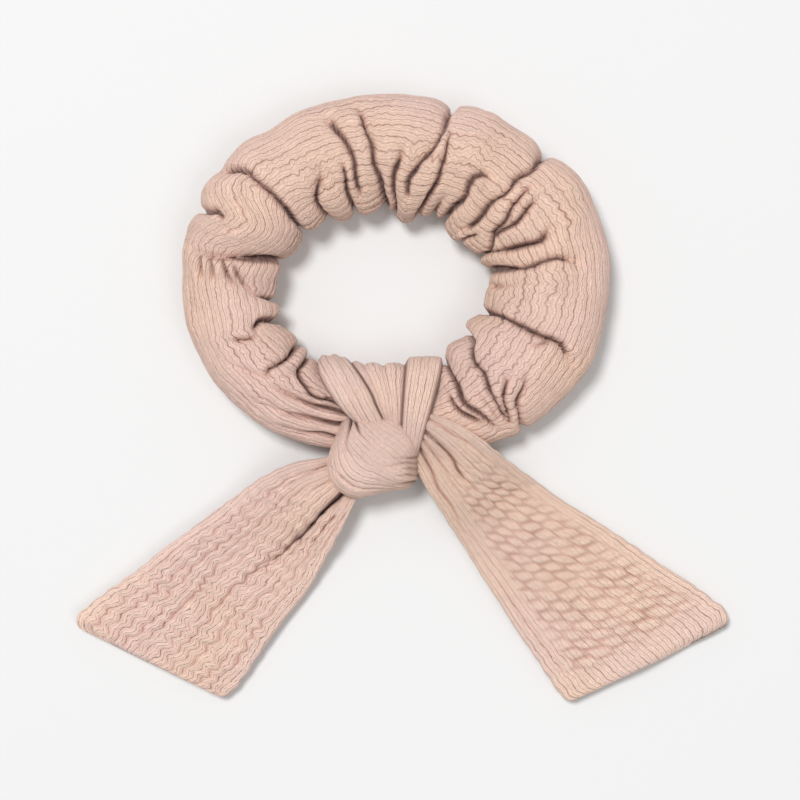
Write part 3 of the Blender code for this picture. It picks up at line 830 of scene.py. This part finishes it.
def wrap_points(w, a, offset):
    """The turns' points: w is the share across from left to right and a the angle round the tube."""
    low, high = NODE_BOX["sash_wrap"]
    hole_side = np.stack([low[0] + 1.6 + w * 33.4, high[1] - 1.5 + 0.3 * np.sin(w * 9)], -1)
    knot_side = np.stack([-10.4 + w * 15.2, -7.0 - 7.0 * w], -1)
    reach = np.linalg.norm(knot_side - hole_side, axis=-1)
    heading = (knot_side - hole_side) / reach[..., None]
    centre = (hole_side + knot_side) / 2
    out, up = signed_power(np.cos(a), 0.8), signed_power(np.sin(a), 0.8)
    across = (reach / 2 + offset * np.abs(np.cos(a))) * out
    bulge = 1.8 * (1 - w) ** 2 * np.sin(a) ** 2
    x = centre[..., 0] + across * heading[..., 0] - bulge
    y = centre[..., 1] + across * heading[..., 1]
    z = WRAP_MIDDLE_HEIGHT + up * (np.where(up > 0, WRAP_HALF_HEIGHT[1], WRAP_HALF_HEIGHT[0]) + offset)
    return np.stack([x, y, np.maximum(z, 0.2)], -1)


def build_wrap(material):
    """The sash's turns round the gathered waist, as one band with an outer and an inner side."""
    out_and_back = [np.linspace(0, 1, WRAP_COLUMNS), np.linspace(1, 0, WRAP_COLUMNS)]
    w = np.concatenate(out_and_back)[:, None]
    inner = np.repeat([0.0, 1.0], WRAP_COLUMNS)[:, None]
    a = np.linspace(0, 2 * np.pi, WRAP_ROWS, endpoint=False)[None]
    offset, v, to_gap = wrap_bands(w, a, (1 + np.cos(a)) / 2)
    u = a * 12 + 0 * w
    v = v + 0.3 * ripple(u, v, 9, 51)
    edge = bell(np.minimum(w, 1 - w) * 30, 0.8)
    groove = groove_relief(u, v)
    relief = (0.10 * rib_relief(v) + 0.26 * groove - 0.3) * (1 - inner)
    cloth = wrap_points(w, a, offset - 1.4 * edge - 1.0 * inner + relief)
    # Painted shade at the gaps between the bands, along the band's sunken edges and in the grooves; none on
    # the inner side.
    crease = np.clip(bell(to_gap * 25, 0.5) + 0.8 * edge, 0, 1) * (1 - inner)
    shades = {"groove": 0.5 * (1 - groove), "crease": 0.85 * crease}
    wrap = grid_piece("sash_turns", cloth, np.stack([u, v], -1), (True, True), shades)
    close_ends(wrap)
    stand_for(wrap, "sash_wrap", material)
    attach(wrap, "bow")


# Knot


def knot_points(turn, latitude):
    """The knot's round shape, from its top down, as x and y from its centre, and z."""
    radius = round_interpolate(np.degrees(turn[:, 0]), KNOT_OUTLINE, 1)[:, None] * np.cos(latitude) ** 0.62
    x, y = radius * np.cos(turn), radius * np.sin(turn)
    rise = signed_power(np.sin(latitude), 0.8)
    tilt = 1 - 0.05 * (x / 12) - 0.06 * (y / 12)
    z = KNOT_MIDDLE_HEIGHT + rise * np.where(rise > 0, KNOT_RISE * tilt, KNOT_FALL)
    return np.stack([x, y, z], -1)


def knot_knit(points, turn):
    """Knit coordinates on the knot, spread out flat from its top."""
    steps = np.linalg.norm(np.diff(points, axis=1), axis=2).mean(0)
    reached = np.concatenate([[0], np.cumsum(steps)])[None]
    east, north = reached * np.cos(turn), reached * np.sin(turn)
    from_left = np.arctan2(north - RIBS_FROM[1], east - RIBS_FROM[0])
    from_right = np.arctan2(north - RIBS_TO[1], east - RIBS_TO[0])
    angle = (from_left - from_right + 2 * np.pi) % (2 * np.pi)
    return east, angle * RIB_SPREAD + 0.25 * ripple(east, north, 6, 61)


def build_knot(material):
    """The knot: cloth drawn over it from the upper left and pinched in at its right."""
    turn = np.radians(np.linspace(0, 360, KNOT_ROWS, endpoint=False))[:, None]
    upper, under = np.linspace(90, -10, KNOT_TOP_COLUMNS), np.linspace(-14, -90, KNOT_UNDER_COLUMNS)
    latitude = np.radians(np.concatenate([upper, under]))[None]
    points = knot_points(turn, latitude)
    u, v = knot_knit(points, turn)
    groove = groove_relief(points[..., 0], v)
    rolls, gaps, _ = fold_depth(points[..., :2], KNOT_FOLDS)
    shown = smooth((signed_power(np.sin(latitude), 0.8) + 0.5) / 0.5)
    off_pole = smooth((89 - np.degrees(latitude)) / 4)
    relief = (0.08 * rib_relief(v) + 0.2 * groove - 0.25) * shown * off_pole
    inwards = grid_normals(points, True, False)
    cloth = points - inwards * (relief - (rolls + gaps) * shown)[..., None] + [*KNOT_CENTRE, 0]
    raise_floor(cloth, 0.4)
    # Painted shade in the grooves on the knot's shown side and in the gaps and rolls of its folds.
    shades = {
        "groove": 0.4 * (1 - groove) * shown,
        "crease": np.clip(gaps / 0.8 + rolls / 3, 0, 1),
    }
    knot = grid_piece("sash_tied_knot", cloth, np.stack([u, v], -1), (True, False), shades)
    close_ends(knot)
    stand_for(knot, "sash_knot", material)
    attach(knot, "bow")


# Elastic


def build_elastic(material):
    """The flat braided elastic in the sleeve: a standing strip in a closed oval."""
    low, high = NODE_BOX["elastic_band"]
    centre, half = (low + high) / 2, (high - low) / 2
    half_thickness, inset, strand = 0.6, 0.8, 1.6
    turn = np.linspace(0, 2 * np.pi, 720, endpoint=False)[:, None]
    around = np.linspace(0, 2 * np.pi, 44, endpoint=False)[None]
    across = half_thickness * signed_power(np.cos(around), 0.5)
    up = (half[2] - 0.15) * signed_power(np.sin(around), 0.7)
    length = turn * (half[0] + half[1]) / 2
    crossing = np.sin(2 * np.pi * (length + up) / strand) * np.sin(2 * np.pi * (length - up) / strand)
    reach = across + 0.08 * crossing * np.sign(np.cos(around)) - inset
    x = centre[0] + (half[0] + reach) * np.cos(turn)
    y = centre[1] + (half[1] + reach) * np.sin(turn)
    z = centre[2] + up + 0 * turn
    uv = np.stack([length + 0 * up, up + 0 * length], -1)
    elastic = grid_piece("elastic_strip", np.stack([x, y, z], -1), uv, (True, True), {})
    close_ends(elastic)
    stand_for(elastic, "elastic_band", material)
    stretch_with_ring(elastic)


# Materials


class Nodes:
    """Short ways to add a material's nodes."""

    def __init__(self, name):
        self.material = bpy.data.materials.new(name)
        self.material.use_nodes = True
        self.tree = self.material.node_tree
        self.shader = self.tree.nodes["Principled BSDF"]

    def set(self, **values):
        """Sets the shader's own sockets, whose names have spaces where these have underscores."""
        for key, value in values.items():
            self.feed(self.shader.inputs[key.replace("_", " ")], value)

    def add(self, kind, inputs=None, **settings):
        node = self.tree.nodes.new(kind)
        for key, value in settings.items():
            setattr(node, key, value)
        for key, value in (inputs or {}).items():
            self.feed(node.inputs[key], value)
        return node

    def feed(self, socket, value):
        if hasattr(value, "is_output"):
            self.tree.links.new(value, socket)
        elif isinstance(value, tuple):
            socket.default_value = (*value, 1)[: len(socket.default_value)]
        else:
            socket.default_value = value

    def math(self, operation, first, second=0.0):
        return self.add("ShaderNodeMath", {0: first, 1: second}, operation=operation).outputs[0]

    def mix(self, factor, first, second):
        inputs = {"Factor": factor, 6: first, 7: second}
        return self.add("ShaderNodeMix", inputs, data_type="RGBA").outputs[2]

    def noise(self, place, scale, detail=2.0):
        inputs = {"Vector": place, "Scale": scale, "Detail": detail}
        return self.add("ShaderNodeTexNoise", inputs).outputs["Fac"]

    def ramp(self, value, low, high, to_low=0.0, to_high=1.0):
        inputs = {"Value": value, "From Min": low, "From Max": high, "To Min": to_low, "To Max": to_high}
        return self.add("ShaderNodeMapRange", inputs).outputs["Result"]

    def attribute(self, name):
        return self.add("ShaderNodeAttribute", attribute_name=name).outputs["Fac"]

    def lines(self, distance, pitch, width):
        """1 on thin lines this far apart and 0 between them; everything here is in millimetres."""
        turns = self.math("FRACT", self.math("ADD", self.math("DIVIDE", distance, pitch), 0.5))
        away = self.math("MULTIPLY", self.math("ABSOLUTE", self.math("SUBTRACT", turns, 0.5)), pitch)
        return self.ramp(away, width, 0.0)

    def bump(self, height, distance, strength, **normal):
        inputs = {"Height": height, "Distance": distance * MM, "Strength": strength, **normal}
        return self.add("ShaderNodeBump", inputs).outputs["Normal"]


def knit_lines(nodes, place):
    """Thin lines of the knit: main grooves, the grooves between ribs, half ribs, and stitches."""
    knit = nodes.add("ShaderNodeSeparateXYZ", {0: place["UV"]}).outputs
    along = nodes.math("MULTIPLY", knit[0], float(UV_MM))
    across = nodes.math("MULTIPLY", knit[1], float(UV_MM))
    wander = nodes.ramp(nodes.noise(place["Object"], 650.0), 0.3, 0.7, -0.2, 0.2)
    across = nodes.math("ADD", across, wander)
    # A noise fades the main grooves unevenly, both in their bump and in the painted shade they put into the
    # colour.
    groove_bump_and_shade_fade = nodes.ramp(nodes.noise(place["Object"], 160.0), 0.36, 0.62)
    main = nodes.math("MULTIPLY", nodes.lines(across, GROOVE_PITCH, 0.20), groove_bump_and_shade_fade)
    middle = nodes.lines(across, RIB_PITCH, 0.16)
    fine = nodes.lines(across, RIB_PITCH / 2, 0.15)
    stitch = nodes.lines(nodes.math("ADD", along, nodes.math("MULTIPLY", across, 0.5)), 0.45, 0.2)
    return main, middle, fine, stitch


def darker(colour, share):
    return tuple(share * part for part in colour)


def knit_material(name, light, warm, deep):
    """Ribbed jersey: thin grooves between fine ribs and small stitches, with painted shade darkening its
    grooves and creases.
    """
    nodes = Nodes(name)
    nodes.set(Roughness=0.92, Specular_IOR_Level=0.12)
    nodes.set(Sheen_Weight=0.22, Sheen_Roughness=0.6, Sheen_Tint=(1, 0.9, 0.87))
    place = nodes.add("ShaderNodeTexCoord").outputs
    main, middle, fine, stitch = knit_lines(nodes, place)
    fibres = nodes.ramp(nodes.noise(place["Object"], 1400.0, 3.0), 0.3, 0.7)
    mottled = nodes.ramp(nodes.noise(place["Object"], 420.0, 3.0), 0.4, 0.65, 0.0, 0.12)
    patches = nodes.ramp(nodes.noise(place["Object"], 26.0), 0.40, 0.60)
    crease = nodes.attribute("crease")
    colour = nodes.mix(patches, light, warm)
    # Painted shade: the knit's thin lines and the groove attribute darken the colour towards deep in the
    # grooves between ribs.
    for amount, strength in ((fine, 0.22), (middle, 0.24), (main, 0.25), (nodes.attribute("groove"), 0.75)):
        colour = nodes.mix(nodes.math("MULTIPLY", amount, strength), colour, deep)
    # Painted shade in the creases of the folds: the crease attribute darkens the colour towards deep, and
    # towards a much darker deep in the middle of each crease.
    colour = nodes.mix(nodes.ramp(crease, 0.04, 0.5, 0.0, 0.45), colour, deep)
    colour = nodes.mix(nodes.ramp(crease, 0.35, 0.9), colour, darker(deep, 0.25))
    colour = nodes.mix(nodes.math("MULTIPLY", fibres, 0.22), colour, darker(light, 0.5))
    colour = nodes.mix(mottled, colour, darker(light, 0.5))
    ribs = nodes.math("ADD", nodes.math("MULTIPLY", fine, 0.5), nodes.math("MULTIPLY", middle, 0.5))
    height = nodes.math("SUBTRACT", nodes.math("MULTIPLY", stitch, 0.35), nodes.math("ADD", ribs, main))
    knitted = nodes.bump(height, 0.22, 0.8)
    nodes.set(Base_Color=colour, Normal=nodes.bump(fibres, 0.28, 0.5, Normal=knitted))
    return nodes.material


def braid_material(name, light, dark, pitch, roughness):
    """Thread or braided elastic: short slanting strands."""
    nodes = Nodes(name)
    place = nodes.add("ShaderNodeTexCoord").outputs["Object"]
    x, y, z = nodes.add("ShaderNodeSeparateXYZ", {0: place}).outputs
    slanting = nodes.math("ADD", nodes.math("ADD", x, y), z)
    strands = nodes.lines(nodes.math("DIVIDE", slanting, MM), pitch, pitch / 2)
    colour = nodes.mix(strands, light, dark)
    nodes.set(Roughness=roughness, Base_Color=colour, Normal=nodes.bump(strands, 0.2, 0.6))
    return nodes.material


def floor_material():
    nodes = Nodes("pale_floor")
    nodes.set(Base_Color=(0.795, 0.795, 0.795), Roughness=1.0, Specular_IOR_Level=0.0)
    return nodes.material


# Studio


def add_to_scene(name, data):
    added = bpy.data.objects.new(name, data)
    bpy.context.scene.collection.objects.link(added)
    return added


def build_floor():
    bpy.ops.mesh.primitive_plane_add(size=3)
    floor = bpy.context.object
    floor.name = "floor"
    floor.data.materials.append(floor_material())


def build_world():
    """Even white light from all round."""
    world = bpy.data.worlds.new("studio")
    bpy.context.scene.world = world
    world.use_nodes = True
    background = world.node_tree.nodes["Background"]
    background.inputs["Color"].default_value = (1, 1, 1, 1)
    background.inputs["Strength"].default_value = 0.40


def build_lamp(name, place, size, energy):
    """A round soft lamp that points at the object."""
    light = bpy.data.lights.new(name, "AREA")
    light.shape = "DISK"
    light.size = size
    light.energy = energy
    lamp = add_to_scene(name, light)
    lamp.location = place
    lamp.rotation_euler = (-Vector(place)).to_track_quat("-Z", "Y").to_euler()


def build_camera():
    """A camera straight above, looking down."""
    view_width, object_middle = 0.206, 0.008
    camera = add_to_scene("camera", bpy.data.cameras.new("camera"))
    camera.data.lens = 100
    camera.data.sensor_width = 36
    camera.data.clip_start = 0.01
    distance = view_width * camera.data.lens / camera.data.sensor_width
    camera.location = (0, 0, object_middle + distance)
    bpy.context.scene.camera = camera
    bpy.context.scene.view_settings.view_transform = "Standard"


def build_studio():
    build_floor()
    build_world()
    build_lamp("key", (-0.50, 0.60, 2.10), 0.62, 33.6)
    build_lamp("fill", (0.70, -0.60, 1.80), 1.20, 6.4)
    build_camera()


def write_sizes():
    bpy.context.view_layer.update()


def main():
    build_studio()
    # Each knit's deep colour is the painted shade of its grooves and creases; light and warm are the cloth's
    # own tones, mixed at random.
    sleeve_knit_look = knit_material(
        "blush_knit_sleeve", light=(0.90, 0.64, 0.55), warm=(0.92, 0.65, 0.51), deep=(0.43, 0.18, 0.13),
    )
    sash_knit_look = knit_material(
        "blush_knit_sash", light=(0.94, 0.69, 0.60), warm=(0.96, 0.70, 0.55), deep=(0.49, 0.22, 0.17),
    )
    ivory_braid = braid_material("ivory_braid", (0.82, 0.78, 0.70), (0.62, 0.57, 0.48), 1.1, 0.75)
    thread = braid_material("blush_thread", (0.66, 0.42, 0.35), (0.42, 0.22, 0.17), 0.4, 0.6)
    sleeve_points = build_sleeve(sleeve_knit_look)
    build_tail("left", LEFT_TAIL, left_tail_knit, sash_knit_look)
    build_tail("right", RIGHT_TAIL, right_tail_knit, sash_knit_look, Cover(sleeve_points))
    build_wrap(sash_knit_look)
    build_knot(sash_knit_look)
    build_elastic(ivory_braid)
    for node in ("elastic_join_thread", "sleeve_closing_thread"):
        frame["nodes"][node].data.materials.clear()
        frame["nodes"][node].data.materials.append(thread)
    write_sizes()


main()
